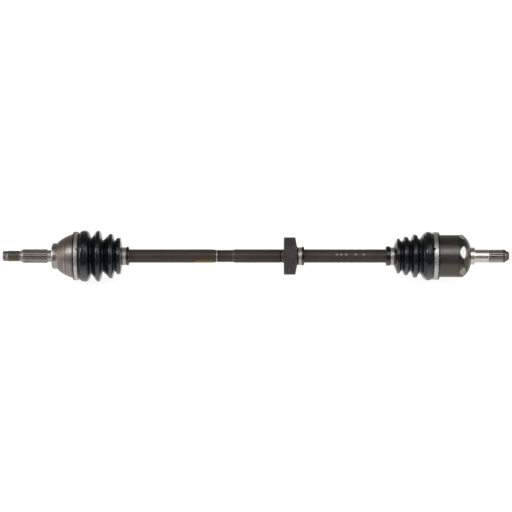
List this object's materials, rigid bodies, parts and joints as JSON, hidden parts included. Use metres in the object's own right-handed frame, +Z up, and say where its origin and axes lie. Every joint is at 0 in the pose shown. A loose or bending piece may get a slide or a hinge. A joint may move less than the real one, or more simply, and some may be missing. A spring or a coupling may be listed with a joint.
{
  "type": "drive axle",
  "caption": "Front-wheel drive axle: solid bar with a rubber-sprung damper, a fixed ball joint with threaded spline stub and a plunging ball joint with spline stub, both booted.",
  "frame": {"origin": "on the axle's centreline, halfway between the two stub ends", "axes": "+X along the axle towards the gearbox end, +Z up, both joints straight"},
  "size_m": [0.936, 0.094, 0.094],
  "materials": {
    "bell_steel": "turned, oiled, brown-stained forged steel",
    "shaft_steel": "dark brown oiled bar steel",
    "cup_steel": "dark oiled machined steel",
    "race_steel": "ground bearing steel",
    "ball_steel": "polished bearing balls",
    "spring_steel": "phosphated spring steel",
    "boot_rubber": "black moulded rubber, slight sheen",
    "damper_rubber": "matte charcoal rubber",
    "clamp_steel": "bright stainless strap",
    "small_clamp_steel": "satin steel strap, warm tone"
  },
  "bodies": {
    "shaft": {"axle_shaft": "shaft_steel", "outer_joint_race": "race_steel", "outer_race_circlip": "spring_steel", "inner_joint_race": "race_steel", "inner_race_stop_ring": "spring_steel", "inner_race_circlip": "spring_steel", "outer_boot": "boot_rubber", "outer_boot_small_clamp": "small_clamp_steel", "damper_mass_ring": "damper_rubber", "damper_rubber_sleeve": "damper_rubber", "damper_clamp": "small_clamp_steel", "inner_boot_small_clamp": "small_clamp_steel"},
    "outer_housing": {"outer_joint_housing": "bell_steel", "outer_boot_large_clamp": "clamp_steel"},
    "outer_cage": {"outer_joint_cage": "race_steel"},
    "inner_boot": {"inner_boot": "boot_rubber"},
    "inner_housing": {"inner_joint_housing": "cup_steel", "inner_boot_large_clamp": "clamp_steel", "cup_retaining_ring": "spring_steel", "gearbox_stub_circlip": "spring_steel"},
    "inner_cage": {"inner_joint_cage": "race_steel"},
    "outer_ball_1": {"outer_joint_ball_1": "ball_steel"},
    "inner_ball_1": {"inner_joint_ball_1": "ball_steel"},
    "outer_ball_2": {"outer_joint_ball_2": "ball_steel"},
    "inner_ball_2": {"inner_joint_ball_2": "ball_steel"},
    "outer_ball_3": {"outer_joint_ball_3": "ball_steel"},
    "inner_ball_3": {"inner_joint_ball_3": "ball_steel"},
    "outer_ball_4": {"outer_joint_ball_4": "ball_steel"},
    "inner_ball_4": {"inner_joint_ball_4": "ball_steel"},
    "outer_ball_5": {"outer_joint_ball_5": "ball_steel"},
    "inner_ball_5": {"inner_joint_ball_5": "ball_steel"},
    "outer_ball_6": {"outer_joint_ball_6": "ball_steel"},
    "inner_ball_6": {"inner_joint_ball_6": "ball_steel"}
  },
  "joints": [
    {"name": "outer_articulation", "type": "hinge", "parent": "shaft", "child": "outer_housing", "pos_m": [-0.338, 0, 0], "axis": [0, 1, 0], "range_deg": [-45, 45], "deforming": ["outer_boot"]},
    {"name": "outer_cage_tilt", "type": "hinge", "parent": "shaft", "child": "outer_cage", "pos_m": [-0.338, 0, 0], "axis": [0, 1, 0], "range_deg": [-23, 23]},
    {"name": "inner_articulation", "type": "hinge", "parent": "shaft", "child": "inner_boot", "pos_m": [0.3515, 0, 0], "axis": [0, 1, 0], "range_deg": [-18, 18], "deforming": ["inner_boot"]},
    {"name": "inner_plunge", "type": "slide", "parent": "inner_boot", "child": "inner_housing", "axis": [1, 0, 0], "range_m": [-0.012, 0.01], "deforming": ["inner_boot"]},
    {"name": "inner_cage_tilt", "type": "hinge", "parent": "shaft", "child": "inner_cage", "pos_m": [0.348, 0, 0], "axis": [0, 1, 0], "range_deg": [-9.5, 9.5]},
    {"name": "outer_ball_1_track", "type": "slide", "parent": "outer_cage", "child": "outer_ball_1", "axis": [0, 0, 1], "range_m": [-0.0013, 0.0013]},
    {"name": "inner_ball_1_track", "type": "slide", "parent": "inner_cage", "child": "inner_ball_1", "axis": [0, 0, 1], "range_m": [-0.0008, 0.0008]},
    {"name": "outer_ball_2_track", "type": "slide", "parent": "outer_cage", "child": "outer_ball_2", "axis": [0, -0.866, 0.5], "range_m": [-0.0013, 0.0013]},
    {"name": "inner_ball_2_track", "type": "slide", "parent": "inner_cage", "child": "inner_ball_2", "axis": [0, -0.866, 0.5], "range_m": [-0.0008, 0.0008]},
    {"name": "outer_ball_3_track", "type": "slide", "parent": "outer_cage", "child": "outer_ball_3", "axis": [0, -0.866, -0.5], "range_m": [-0.0013, 0.0013]},
    {"name": "inner_ball_3_track", "type": "slide", "parent": "inner_cage", "child": "inner_ball_3", "axis": [0, -0.866, -0.5], "range_m": [-0.0008, 0.0008]},
    {"name": "outer_ball_4_track", "type": "slide", "parent": "outer_cage", "child": "outer_ball_4", "axis": [0, 0, -1], "range_m": [-0.0013, 0.0013]},
    {"name": "inner_ball_4_track", "type": "slide", "parent": "inner_cage", "child": "inner_ball_4", "axis": [0, 0, -1], "range_m": [-0.0008, 0.0008]},
    {"name": "outer_ball_5_track", "type": "slide", "parent": "outer_cage", "child": "outer_ball_5", "axis": [0, 0.866, -0.5], "range_m": [-0.0013, 0.0013]},
    {"name": "inner_ball_5_track", "type": "slide", "parent": "inner_cage", "child": "inner_ball_5", "axis": [0, 0.866, -0.5], "range_m": [-0.0008, 0.0008]},
    {"name": "outer_ball_6_track", "type": "slide", "parent": "outer_cage", "child": "outer_ball_6", "axis": [0, 0.866, 0.5], "range_m": [-0.0013, 0.0013]},
    {"name": "inner_ball_6_track", "type": "slide", "parent": "inner_cage", "child": "inner_ball_6", "axis": [0, 0.866, 0.5], "range_m": [-0.0008, 0.0008]}
  ],
  "couplings": [
    {"joint": "outer_cage_tilt", "follows": "outer_articulation", "ratio": 0.5},
    {"joint": "inner_cage_tilt", "follows": "inner_articulation", "ratio": 0.5},
    {"joint": "outer_ball_1_track", "follows": "outer_articulation", "m_per_rad": -0.0014618},
    {"joint": "inner_ball_1_track", "follows": "inner_articulation", "m_per_rad": 0.0017675},
    {"joint": "outer_ball_2_track", "follows": "outer_articulation", "m_per_rad": -0.0007309},
    {"joint": "inner_ball_2_track", "follows": "inner_articulation", "m_per_rad": 0.0008838},
    {"joint": "outer_ball_3_track", "follows": "outer_articulation", "m_per_rad": 0.0007309},
    {"joint": "inner_ball_3_track", "follows": "inner_articulation", "m_per_rad": -0.0008837},
    {"joint": "outer_ball_4_track", "follows": "outer_articulation", "m_per_rad": 0.0014618},
    {"joint": "inner_ball_4_track", "follows": "inner_articulation", "m_per_rad": -0.0017675},
    {"joint": "outer_ball_5_track", "follows": "outer_articulation", "m_per_rad": 0.0007309},
    {"joint": "inner_ball_5_track", "follows": "inner_articulation", "m_per_rad": -0.0008838},
    {"joint": "outer_ball_6_track", "follows": "outer_articulation", "m_per_rad": -0.0007309},
    {"joint": "inner_ball_6_track", "follows": "inner_articulation", "m_per_rad": 0.0008838}
  ]
}
